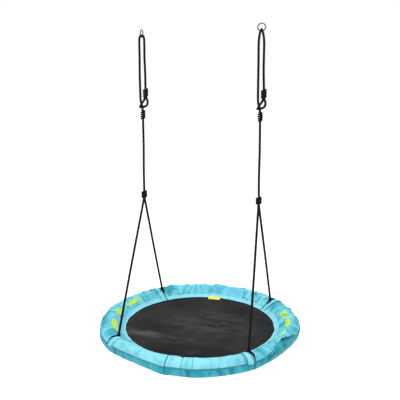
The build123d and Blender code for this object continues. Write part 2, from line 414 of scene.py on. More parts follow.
def mat_look():
    """Tightly woven dark polypropylene: browner and lighter at its middle, with a painted shade at its front, soft
    painted highlight streaks at its front left, and painted shade in the gaps of the weave.
    """
    look = Look("mat_weave", Specular_IOR_Level=0.04)
    cloth = look.coords("UV")
    along, across, _ = look.parts(cloth)
    cloud = look.noise(cloth, 0.16, 3.0, 0.5, 0.3)
    streak = look.noise(look.coords("UV", (0.6, 1.7, 1), -22.0), 0.085, 3.0, 0.55, 0.8)
    colour = look.ramp(cloud, ((0.34, (0.0165, 0.0162, 0.0175)), (0.70, (0.0340, 0.0335, 0.0345))))
    # Patches, each broken up by the streak noise: painted shade at the front, the browner and lighter middle, and two
    # painted highlight streaks at the front left.
    for x, y, half_long, half_wide, share, tone in (
        (0.06, -0.34, 0.34, 0.13, 0.95, (0.0080, 0.0078, 0.0088)),
        (0.02, 0.04, 0.26, 0.20, 0.85, (0.0660, 0.0565, 0.0540)),
        (-0.25, -0.16, 0.15, 0.05, 0.80, (0.0950, 0.0880, 0.0860)),
        (-0.08, -0.19, 0.16, 0.05, 0.50, (0.0850, 0.0800, 0.0790)),
    ):
        far = look.spread(along, across, x, half_long, y, half_wide)
        lit = look.calc("MULTIPLY", look.fade(far, 0.1, 1.1, share, 0.0), look.fade(streak, 0.36, 0.60))
        colour = look.mix(lit, colour, tone)
    weave = plain_weave(look, cloth, 0.0024)
    # Painted shade in the gaps between the threads.
    gap_shade = look.calc("MULTIPLY", look.calc("SUBTRACT", 1.0, weave), 0.3)
    colour = look.mix(gap_shade, colour, (0.009, 0.0085, 0.009))
    waves = look.bump(look.noise(cloth, 0.035, 2.0), 0.0008, 0.5)
    return look.finish(colour, look.fade(streak, 0.35, 0.7, 0.64, 0.5), look.bump(weave, 0.0003, 0.6, waves))


def metal_look(name, dark, light, rough_low, rough_high, grain):
    """Plated or galvanised steel, with cloudy tone and fine drawn lines."""
    look = Look(name, Metallic=1.0)
    place = look.coords("Object")
    cloud, colour = look.cloud(place, grain, dark, light, 3.0, 0.6)
    lines = look.noise(look.coords("Object", (1, 1, 14)), 0.006, 2.0)
    return look.finish(colour, look.fade(cloud, 0.3, 0.7, rough_low, rough_high), look.bump(lines, 0.0002, 0.3))


def foam_look():
    """Closed-cell charcoal foam: partly its own dark colour and partly painted shade inside the rope slits, where it
    shows.
    """
    look = Look("closed_cell_foam", Roughness=0.85)
    place = look.coords("Object")
    cells = look.node("TexVoronoi")
    cells.inputs["Scale"].default_value = 900.0
    look.join(place, cells.inputs["Vector"])
    _, colour = look.cloud(place, 0.03, (0.022, 0.023, 0.025), (0.038, 0.039, 0.041))
    return look.finish(colour, None, look.bump(cells.outputs["Distance"], 0.0005, 0.5))


def tab_look():
    """Blank yellow satin tape."""
    look = Look("yellow_tape", Sheen_Weight=0.3, IOR=1.45)
    cloth = look.coords("UV")
    ribs = look.wave(cloth, 0.0008, "X")
    tone, colour = look.cloud(cloth, 0.01, (0.92, 0.60, 0.015), (1.0, 0.72, 0.03))
    return look.finish(colour, look.fade(tone, 0.3, 0.7, 0.42, 0.55), look.bump(ribs, 0.0001, 0.4))


# ---- mesh helpers


def add_object(name, mesh, material):
    made = bpy.data.objects.new(name, mesh)
    bpy.context.collection.objects.link(made)
    mesh.materials.append(material)
    mesh.polygons.foreach_set("use_smooth", [True] * len(mesh.polygons))
    return made


def grid_mesh(name, points, uvs, closed_along=False, closed_across=False):
    """Quads over an array of points [along, across, xyz], with UVs in metres."""
    along, across = points.shape[:2]
    last_along = along if closed_along else along - 1
    last_across = across if closed_across else across - 1
    faces = []
    corners = []
    for i in range(last_along):
        for j in range(last_across):
            square = ((i, j), (i + 1, j), (i + 1, j + 1), (i, j + 1))
            faces.append([(a % along) * across + b % across for a, b in square])
            corners.extend(square)
    mesh = bpy.data.meshes.new(name)
    mesh.from_pydata(points.reshape(-1, 3).tolist(), [], faces)
    layer = mesh.uv_layers.new(name="UVMap")
    flat = np.array([uvs(a, b) for a, b in corners], dtype=np.float32)
    layer.data.foreach_set("uv", flat.ravel())
    return mesh


def thicken(piece, depth, offset=-1.0, levels=1):
    """Gives a panel its fabric thickness and one smooth subdivision, then applies both."""
    solid = piece.modifiers.new("thickness", "SOLIDIFY")
    solid.thickness = depth
    solid.offset = offset
    if levels:
        smooth = piece.modifiers.new("smooth", "SUBSURF")
        smooth.levels = levels
    apply_modifiers(piece)


def apply_modifiers(piece):
    depsgraph = bpy.context.evaluated_depsgraph_get()
    mesh = bpy.data.meshes.new_from_object(piece.evaluated_get(depsgraph))
    piece.modifiers.clear()
    piece.data = mesh


def add_faces(mesh, faces, flat_uvs=False):
    """Adds faces between vertices that the mesh already has, given by their numbers."""
    made = bmesh.new()
    made.from_mesh(mesh)
    made.verts.ensure_lookup_table()
    layer = made.loops.layers.uv.active
    for face in faces:
        for loop in made.faces.new([made.verts[k] for k in face]).loops:
            if flat_uvs:
                loop[layer].uv = (loop.vert.co.x, loop.vert.co.y)
    bmesh.ops.recalc_face_normals(made, faces=made.faces)
    made.to_mesh(mesh)
    made.free()


def place(piece, body, slot, *nodes):
    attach(piece, body)
    if nodes:
        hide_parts(*nodes)


def blend_rope(piece, first, second, start, end, *nodes):
    """A rope whose ends are on two bodies: hides the CAD parts that it stands for and bakes its transform into its
    mesh.
    """
    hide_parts(*nodes)
    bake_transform(piece)


def smoothstep(value, low, high):
    t = np.clip((value - low) / (high - low), 0.0, 1.0)
    return t * t * (3 - 2 * t)


# ---- ropes


def distances(line):
    """The distance along a line at each of its points."""
    return np.concatenate(([0.0], np.cumsum(np.linalg.norm(np.diff(line, axis=0), axis=1))))


def even_steps(line, step):
    """The same line with its points the same distance apart, and the distance at each."""
    line = np.array(line, float)
    run = distances(line)
    count = max(3, round(run[-1] / step))
    along = np.linspace(0.0, run[-1], count + 1)
    return np.column_stack([np.interp(along, run, line[:, k]) for k in range(3)]), along


def unit_grid(columns, rows):
    """Shares from 0 to 1 along and across a grid."""
    along, across = np.linspace(0, 1, columns), np.linspace(0, 1, rows)
    return along[:, None] * np.ones((1, rows)), across[None, :] * np.ones((columns, 1))


def route_line(points):
    """Points of the NURBS curve that these control points shape."""
    curve = bpy.data.curves.new("route", "CURVE")
    curve.dimensions = "3D"
    curve.resolution_u = 20
    spline = curve.splines.new("NURBS")
    spline.points.add(len(points) - 1)
    for control, point in zip(spline.points, points):
        control.co = (*point, 1.0)
    spline.order_u = 3
    spline.use_endpoint_u = True
    holder = bpy.data.objects.new("route", curve)
    mesh = bpy.data.meshes.new_from_object(holder)
    line = [tuple(v.co) for v in mesh.vertices]
    bpy.data.objects.remove(holder)
    bpy.data.curves.remove(curve)
    bpy.data.meshes.remove(mesh)
    return line


braid_strands = 8
braid_length = 0.0052
braid_relief = 0.00035
rope_sides = 24
rope_step = 0.0014


def braid_height(turn, along):
    """Rounded strands of two crossing families, each over the other in turn."""
    one = turn * braid_strands / 2 + along * math.pi / braid_length
    other = turn * braid_strands / 2 - along * math.pi / braid_length
    over = (np.floor(one / math.pi) + np.floor(other / math.pi)) % 2 < 0.5
    return np.where(over, np.abs(np.sin(one)), np.abs(np.sin(other)))


def braided_rope(name, line, material, radius=rope_radius, closed=False):
    """Rope with braid relief that follows a line of points."""
    points, along = even_steps(line, rope_step)
    if closed:
        points, along = points[:-1], along[:-1]
        ahead = np.roll(points, -1, axis=0) - np.roll(points, 1, axis=0)
    else:
        ahead = np.gradient(points, axis=0)
    ahead /= np.linalg.norm(ahead, axis=1)[:, None]
    side = np.cross(ahead[0], (0.31, 0.82, 0.47))
    turn = np.linspace(0, math.tau, rope_sides, endpoint=False)
    rings = np.empty((len(points), rope_sides, 3))
    for k, (point, forward) in enumerate(zip(points, ahead)):
        side = side - forward * np.dot(side, forward)
        side /= np.linalg.norm(side)
        up = np.cross(forward, side)
        reach = radius - braid_relief * (1 - braid_height(turn, along[k]))
        rings[k] = point + reach[:, None] * (np.cos(turn)[:, None] * side + np.sin(turn)[:, None] * up)
    if not closed:
        rings = round_ends(rings, points, ahead, radius)
    girth = math.tau * radius / rope_sides
    mesh = grid_mesh(name, rings, lambda a, b: (b * girth, a * rope_step), closed, True)
    if not closed:
        last = (len(rings) - 1) * rope_sides
        add_faces(mesh, (range(rope_sides)[::-1], range(last, last + rope_sides)))
    return add_object(name, mesh, material)


def round_ends(rings, points, ahead, radius):
    """Adds shrinking rings, so that each end is a rounded, melted one."""
    first, last = [], []
    for shrink, push in ((0.36, 0.46), (0.72, 0.30)):
        first.append(points[0] + (rings[0] - points[0]) * shrink - ahead[0] * radius * push)
        last.append(points[-1] + (rings[-1] - points[-1]) * shrink + ahead[-1] * radius * push)
    return np.concatenate((first, rings, last[::-1]))


def straight_rope(start, end, lean):
    """Control points of a taut rope, with a barely visible wander at its middle."""
    start, end = Vector(start), Vector(end)
    return [
        tuple(start),
        tuple(start.lerp(end, 0.08)),
        tuple(start.lerp(end, 0.40) + Vector(lean)),
        tuple(start.lerp(end, 0.70) - Vector(lean) * 0.6),
        tuple(start.lerp(end, 0.93)),
        tuple(end),
    ]


def coil_line(centre, low, high, turns, radius, tilt=0.0012, first=0.0):
    """A wrapping's turns, whose two ends tuck in to its core."""
    steps = int(40 * turns)
    line = []
    for k in range(steps + 1):
        share = k / steps
        angle = first + math.tau * turns * share
        edge = min(share, 1 - share) * turns
        tuck = 0.45 + 0.55 * min(1.0, edge / 0.22)
        loose = 1 + 0.03 * math.sin(angle * 0.37 + first)
        reach = radius * tuck * loose
        height = low + (high - low) * share + tilt * math.sin(angle)
        line.append((centre[0] + reach * math.cos(angle), centre[1] + reach * math.sin(angle), height))
    return line


def wrapping(name, centre, low, high, turns, radius, material, body, node, first=0.0):
    """Rope wraps of a knot, which stand for its CAD barrel."""
    line = coil_line(centre, low + wrap_radius, high - wrap_radius, turns, radius, first=first)
    place(braided_rope(name, line, material, wrap_radius), body, "rope", node)


def make_ropes(material):
    left_x, right_x = -rope_x, rope_x
    wire_lift = 0.0085
    rise = (
        (-0.002, 0.0, hitch_high - 0.012),
        (0.0, 0.0, hitch_high + 0.012),
        (-0.011, 0.0, hitch_high + 0.036),
        (-0.0118, 0.0, hitch_high + 0.070),
    )
    left_bight = (
        (-0.0140, 0.001, -0.190),
        (-0.0118, 0.0, -0.110),
        (-strand_offset, 0.0, -0.0515),
        (-0.0115, 0.0, sway_z + wire_lift),
        (0.0115, 0.0, sway_z + wire_lift),
        (strand_offset, 0.0, -0.0515),
        (0.0120, 0.0, -0.110),
        (0.0155, -0.001, -0.190),
    )
    # This bight stands front to back, over a ring seen face on
    right_bight = (
        (-0.0116, -0.001, -0.180),
        (-0.0122, 0.0, -0.090),
        (-strand_offset, 0.0, -0.050),
        (-0.0075, -0.0100, -0.014),
        (0.0, -0.0105, wire_lift),
        (0.0, 0.0105, wire_lift),
        (0.0075, 0.0100, -0.014),
        (strand_offset, 0.0, -0.050),
        (0.0124, 0.0, -0.090),
        (0.0118, 0.001, -0.180),
    )
    fall = ((noose_offset, 0.0, noose_high + 0.010), (noose_offset, 0.0, noose_high - 0.020))
    left_line, right_line = (
        route_line([(x + dx, y, z) for dx, y, z in (*rise, *bight, *fall)])
        for x, bight in ((left_x, left_bight), (right_x, right_bight))
    )
    left_loop = braided_rope("left_hanging_loop", left_line, material)
    place(left_loop, "left_rope", "rope", "left_rope_bight", "left_standing_strand", "left_running_strand")
    right_loop = braided_rope("right_hanging_loop", right_line, material)
    blend_rope(
        right_loop, "right_bight", "right_rope", (right_x, 0, -0.022), (right_x, 0, -0.062),
        "right_rope_bight", "right_standing_strand", "right_running_strand",
    )

    for side, x, noose_turns in (("left", left_x, 4.2), ("right", right_x, 5.2)):
        body = f"{side}_rope"
        wrapping(
            f"{side}_noose_wraps", (x + noose_offset, 0), noose_low, noose_high, noose_turns, noose_coil,
            material, body, f"{side}_noose_knot", first=0.6,
        )
        wrapping(
            f"{side}_hitch_wraps", (x, 0), hitch_low, hitch_high, 4.1, hitch_coil,
            material, body, f"{side}_lock_hitch", first=2.4,
        )
        eye_top = noose_low + 0.010
        eye_line = route_line(
            [
                (x + noose_offset - 0.002, -0.0052, eye_top),
                (x + noose_offset - 0.003, -0.0052, noose_low - 0.008),
                (x + 0.003, -0.0108, noose_low - 0.020),
                (x - 0.012, -0.0108, noose_low - 0.044),
                (x - 0.014, 0.0108, noose_low - 0.046),
                (x + 0.018, 0.0116, noose_low - 0.040),
                (x + noose_offset + 0.009, 0.0060, noose_low - 0.016),
                (x + noose_offset + 0.002, 0.0052, noose_low - 0.002),
                (x + noose_offset + 0.001, 0.0052, eye_top),
            ]
        )
        eye = braided_rope(f"{side}_eye_loop", eye_line, material)
        place(eye, body, "rope", f"{side}_noose_eye")

        drop_top = (x, 0, hitch_low + 0.015)
        drop_end = (x, 0, knot_top_z - (0.012 if side == "left" else 0.0))
        drop_line = route_line(straight_rope(drop_top, drop_end, (0.0011, 0.0006, 0)))
        drop = braided_rope(f"{side}_drop_line", drop_line, material)
        if side == "left":
            blend_rope(
                drop, "left_rope", "v_knots", (x, 0, knot_top_z + 0.008), (x, 0, knot_top_z - 0.010),
                "left_drop_rope",
            )
        else:
            place(drop, body, "rope", "right_drop_rope")

        wrapping(
            f"{side}_v_knot_wraps", (x, 0), apex_z - 0.009, knot_top_z, 4.1, knot_coil,
            material, "v_knots", f"{side}_v_knot", first=1.2,
        )


def make_legs(material):
    """Two legs a side, from the V-knot down to the eye round the frame tube."""
    for corner, sx, sy in (
        ("back_right", 1, 1),
        ("back_left", -1, 1),
        ("front_left", -1, -1),
        ("front_right", 1, -1),
    ):
        foot = middle(f"{corner}_tube_loop")
        apex = Vector((sx * rope_x, 0, apex_z))
        along = (apex - foot).normalized()
        low = foot + along * 0.0215
        bend = apex - along * 0.020
        inside = Vector((sx * rope_x, sy * 0.0046, apex_z - 0.002))
        line = route_line(
            [
                tuple(low),
                tuple(low.lerp(bend, 0.06)),
                tuple(low.lerp(bend, 0.45) + Vector((0.0012 * sx, 0, 0.0006))),
                tuple(low.lerp(bend, 0.90)),
                tuple(bend),
                tuple(inside),
                tuple(inside + Vector((0, -sy * 0.0006, 0.014))),
            ]
        )
        leg = braided_rope(f"{corner}_leg", line, material)
        bend_low, bend_high = (sx * rope_x, 0, apex_z - 0.026), (sx * rope_x, 0, apex_z + 0.004)
        blend_rope(leg, "seat", "v_knots", bend_low, bend_high, f"{corner}_leg_rope")
        make_tube_eye(corner, foot, along, material)


def make_tube_eye(corner, foot, along, material):
    """Closed eye round the tube, seized to the leg by five turns of thin line."""
    around = Vector((-foot.y, foot.x, 0)).normalized()
    across = (around - along * around.dot(along)).normalized()
    flat = across.cross(along)
    reach = 0.0190
    circle = [
        tuple(foot + along * (reach * math.cos(t)) + flat * (reach * math.sin(t)))
        for t in np.linspace(0, math.tau, 61)
    ]
    eye = braided_rope(f"{corner}_tube_eye", circle, material, closed=True)
    place(eye, "seat", "rope", f"{corner}_tube_loop")

    seizing = []
    turns = 5
    for k in range(turns * 24 + 1):
        angle = math.tau * k / 24
        rise = 0.0275 + 0.0026 * k / 24
        point = foot + along * rise + (across * math.cos(angle) + flat * math.sin(angle)) * 0.0080
        seizing.append(tuple(point))
    whipping = braided_rope(f"{corner}_seizing", seizing, material, thread_radius)
    place(whipping, "seat", "rope")


# ---- cover


def profile_table(knots, count):
    """Radius and height at equal steps along a smooth line through the knots, and its length."""
    fine = []
    ends = [tuple(2 * np.array(knots[0]) - np.array(knots[1])), *knots]
    ends.append(tuple(2 * np.array(knots[-1]) - np.array(knots[-2])))
    for a, b, c, d in zip(ends, ends[1:], ends[2:], ends[3:]):
        a, b, c, d = map(np.array, (a, b, c, d))
        square, cube = 2 * a - 5 * b + 4 * c - d, 3 * b - a - 3 * c + d
        for t in np.linspace(0, 1, 16, endpoint=False):
            fine.append(0.5 * (2 * b + (c - a) * t + square * t**2 + cube * t**3))
    fine.append(np.array(knots[-1]))
    fine = np.array(fine)
    run = distances(fine)
    steps = np.linspace(0, run[-1], count)
    return np.interp(steps, run, fine[:, 0]), np.interp(steps, run, fine[:, 1]), steps


profile_radius, profile_height, profile_run = profile_table(profile_knots, 400)
band_run, slit_near_run, slit_far_run = (
    float(profile_run[np.argmax(profile_radius >= r)]) for r in (band_end, slit_near, slit_far)
)
seam_run = float(profile_run[np.argmin(np.abs(profile_height - seam_height) + (profile_radius < 0.48))])
hem_run = float(profile_run[-1])


def gape(angle):
    """How far the outer seam is pulled up on the sagging front of the right sleeve."""
    return 0.037 * np.exp(-((np.abs(angle - 338.0) / 13.0) ** 2.6))


# How far the loose outer edge of the cover stands out from its round cut: degrees, millimetres
outline_knots = (
    (0, -6), (8, -1), (16, 2), (27, -3), (38, 2), (45.6, -4), (54, 1), (63, -3), (72, 2), (84, -2), (97, 3),
    (107, -3), (119, 2), (128, -3), (134.4, -5), (143, 2), (153, -3), (164, 3), (176, -2), (188, 3),
    (200, -3), (212, 2), (225.6, -2), (234, -9), (246, -14), (257, -9), (266, 2), (272, -1), (282, 2),
    (298, -1), (314.4, -3), (323, -10), (333, -15), (343, -16), (352, -12), (360, -6),
)


def outline(angle):
    a, shift = np.array(outline_knots).T
    return np.interp(np.mod(angle, 360.0), a, shift) * 0.001


def surface_point(angle, run, lift=0.0):
    """Point of the cover skin at an angle in degrees and a distance across it, lifted off the skin."""
    step = 0.001
    radius, height = (np.interp(run, profile_run, table) for table in (profile_radius, profile_height))
    ahead, rise = (
        np.interp(run + step, profile_run, table) - np.interp(run - step, profile_run, table)
        for table in (profile_radius, profile_height)
    )
    size = np.hypot(ahead, rise)
    radius = radius - lift * rise / size
    height = height + lift * ahead / size
    a = np.radians(angle)
    hang = smoothstep(run, slit_near_run, hem_run)
    radius = radius + outline(angle) * hang
    height = height - edge_rise * outline(angle) * hang
    return np.stack([radius * np.cos(a), radius * np.sin(a), rim_z + height], axis=-1)


def slit_inset(run):
    """How far a panel's end stands back from the slit, so that the two ends leave a lens for the rope."""
    share = np.clip((run - slit_near_run) / (slit_far_run - slit_near_run), 0, 1)
    return slit_half * np.sin(math.pi * share) ** 0.6


def sleeve_grid(start, end, columns, run_low, run_high, rows, lift=0.0):
    """Points over a stretch of the cover, and the angle and distance across of each."""
    share, across = unit_grid(columns, rows)
    angle = start + (end - start) * share
    low = run_low(angle) if callable(run_low) else run_low
    high = run_high(angle) if callable(run_high) else run_high
    run = low + (high - low) * across
    inset = np.degrees(slit_inset(run) / tube_centre)
    angle = angle + inset * (smoothstep(-share, -0.12, 0.0) - smoothstep(share, 0.88, 1.0))
    return surface_point(angle, run, lift), angle, run


def wrinkle_noise(angle, run, scale, seed, lean=0.0):
    """Folds that run across the sleeve, the more slanted and uneven the more they lean."""
    out = np.empty(angle.shape)
    for index in np.ndindex(angle.shape):
        along = rim_length(angle[index])
        bend = lean * noise.noise((along / 0.11, run[index] / 0.075, seed + 9.0))
        out[index] = noise.noise((along / scale + bend, run[index] / (scale * 2.4), seed))
    return out


def foam_collider():
    bpy.ops.mesh.primitive_torus_add(
        location=(0, 0, rim_z), major_radius=tube_centre, minor_radius=foam_radius + 0.001,
        major_segments=96, minor_segments=20,
    )
    collider = bpy.context.object
    collider.modifiers.new("collision", "COLLISION")
    collider.collision.thickness_outer = 0.001
    return collider


def settle(name, points, angle, run, fuller, loose, seed):
    """Lets a panel that was cut fuller than the rim settle over the foam, held along its seams."""
    flat = points.reshape(-1, 3)
    mesh = grid_mesh(name + "_cloth", points, lambda a, b: (0, 0))
    cloth_object = bpy.data.objects.new(name + "_cloth", mesh)
    bpy.context.collection.objects.link(cloth_object)
    cloth_object.shape_key_add(name="Basis")
    cut = cloth_object.shape_key_add(name="cut")
    outward = np.column_stack([flat[:, 0], flat[:, 1], np.zeros(len(flat))])
    outward /= np.linalg.norm(outward, axis=1)[:, None]
    cut.data.foreach_set("co", (flat + outward * fuller).astype(np.float32).ravel())
    scale = gather_scale if fuller > 0.02 else 0.050
    waves = (0.0030 + 0.13 * fuller) * wrinkle_noise(angle, run, scale, seed, gather_lean) * loose
    start = points + skin_normals(points) * waves[..., None]
    mesh.vertices.foreach_set("co", start.astype(np.float32).ravel())
    mesh.shape_keys.key_blocks["Basis"].data.foreach_set("co", start.astype(np.float32).ravel())
    pins = cloth_object.vertex_groups.new(name="pins")
    for index, share in enumerate((1 - np.clip(loose, 0, 1)).ravel()):
        pins.add([index], float(share), "REPLACE")
    modifier = cloth_object.modifiers.new("cloth", "CLOTH")
    settings = modifier.settings
    settings.quality = 6
    settings.mass = 0.15
    settings.tension_stiffness = 12
    settings.compression_stiffness = 12
    settings.shear_stiffness = 4
    settings.bending_stiffness = 0.25
    settings.vertex_group_mass = "pins"
    settings.rest_shape_key = cut
    settings.use_pressure = True
    settings.uniform_pressure_force = 0.6
    settings.effector_weights.gravity = 0.0
    modifier.collision_settings.distance_min = 0.001
    scene = bpy.context.scene
    for step in range(1, 25):
        scene.frame_set(step)
    depsgraph = bpy.context.evaluated_depsgraph_get()
    settled = cloth_object.evaluated_get(depsgraph).data
    out = np.empty(len(flat) * 3, dtype=np.float32)
    settled.vertices.foreach_get("co", out)
    scene.frame_set(1)
    bpy.data.objects.remove(cloth_object)
    return out.reshape(points.shape).astype(float)


def skin_normals(points):
    along = np.gradient(points, axis=0)
    across = np.gradient(points, axis=1)
    normal = np.cross(across, along)
    normal /= np.linalg.norm(normal, axis=-1)[..., None] + 1e-12
    half = points.shape[0] // 2, points.shape[1] // 2
    outward = np.array([*points[half][:2], 0.5])
    return -normal if normal[half] @ outward < 0 else normal


def cap_move(start, moved, limit):
    shift = moved - start
    size = np.linalg.norm(shift, axis=-1, keepdims=True)
    return start + shift * np.minimum(1.0, limit / np.maximum(size, 1e-9))


def make_top(name, start, end, material, fuller, seed):
    """One top sleeve panel: gathered over the foam, smooth along its facing band and its ends."""
    points, angle, run = sleeve_grid(start, end, 141, 0.0, lambda a: seam_run + 0.0022 - gape(a), 35)
    scallop = wrinkle_noise(angle, run * 0, 0.075, seed + 4.0)
    free_from, free_to = (0.010, 0.030) if name == "front" else (band_run - 0.004, band_run + 0.010)
    near_seam = smoothstep(run, seam_run - 0.010, seam_run)
    from_ends = rim_length(np.minimum(angle - start, end - angle))
    loose = smoothstep(run, free_from, free_to) * (1 - near_seam) * smoothstep(from_ends, 0.022, 0.050)
    moved = cap_move(points, settle(name, points, angle, run, fuller, loose, seed), most_settling)
    a = np.radians(angle)
    outward = np.stack([np.cos(a), np.sin(a), np.zeros(angle.shape)], axis=-1)
    moved = moved + outward * (0.0042 * scallop * (1 - smoothstep(run, 0.0, 0.03)))[..., None]
    if name == "front":
        moved = front_creases(moved, angle, run)
    mesh = grid_mesh(name, moved, lambda a, b: (rim_length(angle[a, b]), run[a, b]))
    piece = add_object(f"cover_{name}_top", mesh, material)
    thicken(piece, cloth_depth)
    place(piece, "seat", "cover_fabric", f"cover_top_{name}")
    return moved, run


# Pressed-in seam and creases of the front sleeve: degrees, half width, depth, and where they start and end across it
front_grooves = (
    (267.4, 0.35, 0.0026, 0.000, 0.200),
    (275.6, 0.45, 0.0030, 0.030, 0.200),
    (281.6, 0.40, 0.0022, 0.030, 0.200),
    (296.0, 0.60, 0.0012, 0.000, 0.200),
    (240.5, 0.60, 0.0040, 0.006, 0.030),
    (250.0, 0.50, 0.0034, 0.012, 0.040),
    (259.0, 0.60, 0.0014, 0.060, 0.200),
)


def front_creases(points, angle, run):
    down = -skin_normals(points)
    for where, half, depth, low, high in front_grooves:
        groove = np.exp(-(((angle - where) / half) ** 2)) * smoothstep(run, low - 0.006, low + 0.004)
        groove = groove * (1 - smoothstep(run, high - 0.004, high + 0.006))
        points = points + down * (depth * groove)[..., None]
    return points


def make_side(name, start, end, material, seed):
    """The darker wall panel below the outer seam."""
    columns, rows = 141, 11
    points, angle, run = sleeve_grid(start, end, columns, lambda a: seam_run - 0.0030 - gape(a), hem_run, rows)
    _, share = unit_grid(columns, rows)
    tuck = 0.0016 * (1 - smoothstep(share, 0.0, 0.25))
    waves = 0.0016 * wrinkle_noise(angle, run, 0.035, seed) * np.sin(math.pi * share)
    moved = points + skin_normals(points) * (waves - tuck)[..., None]
    mesh = grid_mesh(name, moved, lambda a, b: (rim_length(angle[a, b]), run[a, b] - run[a, 0]))
    piece = add_object(f"cover_{name}_side", mesh, material)
    thicken(piece, cloth_depth)
    place(piece, "seat", "side_fabric", f"cover_side_{name}")


def make_underside(material):
    """One ring of fabric below the foam, back to the mat."""
    columns, rows = 288, 17
    radius, height, run = profile_table(under_knots, rows)
    angle = np.linspace(0, math.tau, columns, endpoint=False)
    points = np.empty((columns, rows, 3))
    for j in range(rows):
        uneven = np.array([noise.noise((math.cos(a) * 9.0, math.sin(a) * 9.0, j * 0.35)) for a in angle])
        ripple = uneven * 0.0022 * math.sin(math.pi * j / (rows - 1))
        hang = outline(np.degrees(angle)) * smoothstep(radius[j], 0.430, hem_radius)
        reach = radius[j] + hang + ripple * 0.4
        points[:, j, 0] = reach * np.cos(angle)
        points[:, j, 1] = reach * np.sin(angle)
        points[:, j, 2] = rim_z + height[j] + ripple - edge_rise * hang
    mesh = grid_mesh("underside", points, lambda a, b: (a * math.tau * tube_centre / columns, run[b]), True)
    piece = add_object("cover_underside_ring", mesh, material)
    thicken(piece, 0.0014, 0.0)
    place(piece, "seat", "underside_fabric", "cover_underside")


def stitch_row(name, points, normals, material, slot, pitch=0.0042, length=0.0029, width=0.0005):
    """Thread stitches that lie along a line on the fabric."""
    line, along = even_steps(points, pitch)
    run = distances(np.array(points))
    lift = np.column_stack([np.interp(along, run, np.array(normals)[:, k]) for k in range(3)])
    verts, faces = [], []
    for k in range(len(line) - 1):
        ahead = line[k + 1] - line[k]
        ahead /= np.linalg.norm(ahead)
        up = lift[k] / np.linalg.norm(lift[k])
        side = np.cross(ahead, up)
        centre = line[k] + up * width * 0.5
        base = len(verts)
        for reach, grow in ((-0.5, 0.35), (-0.25, 1.0), (0.25, 1.0), (0.5, 0.35)):
            ring_centre = centre + ahead * length * reach
            for turn in range(6):
                a = math.tau * turn / 6
                verts.append(ring_centre + (side * math.cos(a) + up * math.sin(a)) * width * grow)
        for ring in range(3):
            low = base + ring * 6
            for turn in range(6):
                after = (turn + 1) % 6
                faces.append([low + turn, low + after, low + 6 + after, low + 6 + turn])
        faces.append([base + t for t in range(5, -1, -1)])
        faces.append([base + 18 + t for t in range(6)])
    mesh = bpy.data.meshes.new(name)
    mesh.from_pydata([tuple(v) for v in verts], [], faces)
    place(add_object(name, mesh, material), "seat", slot)


def thread_look():
    """Bonded polyester sewing thread."""
    look = Look("sewing_thread", Sheen_Weight=0.2, Roughness=0.5)
    _, colour = look.cloud(look.coords("Object"), 0.004, (0.10, 0.48, 0.57), (0.22, 0.66, 0.75))
    twist = look.noise(look.coords("Object", (1, 1, 4)), 0.0009, 1.0)
    return look.finish(colour, None, look.bump(twist, 0.0001, 0.4))


def row_at(points, run, distance):
    """The line across all columns at one distance from the mat edge, with its normals."""
    normals = skin_normals(points)
    line, ups = [], []
    for column in range(points.shape[0]):
        line.append([np.interp(distance, run[column], points[column, :, k]) for k in range(3)])
        ups.append([np.interp(distance, run[column], normals[column, :, k]) for k in range(3)])
    return np.array(line), np.array(ups)


# Painted shadow lines down the front sleeve, beside its own ends and outer seam: degrees, half width, share
front_shadow_lines = (
    (231.2, 0.0030, 0.75),
    (267.4, 0.0042, 0.95),
    (275.8, 0.0040, 0.60),
    (281.4, 0.0034, 0.45),
    (308.8, 0.0036, 0.85),
)
# Printed strokes: degrees, half length, distance across, half width, lime share, blue share
print_strokes = {
    "back": ((82.0, 0.062, 0.062, 0.022, 0.0, 0.5),),
    "left": (
        (190.0, 0.130, 0.026, 0.016, 0.0, 0.55),
        (205.0, 0.082, 0.066, 0.022, 1.0, 0.5),
        (182.5, 0.058, 0.064, 0.017, 1.0, 0.5),
        (162.5, 0.068, 0.062, 0.014, 1.0, 0.5),
    ),
    "right": (
        (381.0, 0.044, 0.072, 0.023, 1.0, 0.5),
        (367.0, 0.070, 0.079, 0.014, 1.0, 0.45),
        (350.0, 0.056, 0.077, 0.012, 0.8, 0.3),
        (338.5, 0.040, 0.074, 0.011, 0.55, 0.0),
    ),
}
# Painted shade in hollows and folds: degrees, half length, distance across, half width, share
hollow_shades = {
    "back": (
        (130.0, 0.060, 0.080, 0.050, 0.8),
        (113.0, 0.050, 0.110, 0.030, 0.6),
        (68.0, 0.060, 0.125, 0.026, 0.7),
        (49.0, 0.040, 0.080, 0.050, 0.6),
    ),
    "left": (
        (138.5, 0.070, 0.105, 0.050, 0.9),
        (196.0, 0.120, 0.125, 0.024, 0.7),
        (218.0, 0.045, 0.090, 0.050, 0.6),
    ),
    "front": (
        (237.0, 0.030, 0.110, 0.030, 0.9),
        (250.5, 0.022, 0.118, 0.034, 0.9),
        (270.5, 0.016, 0.100, 0.055, 0.8),
        (278.5, 0.014, 0.120, 0.040, 0.8),
        (303.0, 0.030, 0.125, 0.030, 0.6),
    ),
    "right": (
        (401.0, 0.050, 0.075, 0.050, 0.7),
        (371.0, 0.070, 0.125, 0.024, 0.6),
        (320.0, 0.045, 0.080, 0.060, 0.7),
    ),
}
fullness = {"back": 0.060, "left": 0.060, "front": 0.006, "right": 0.060}


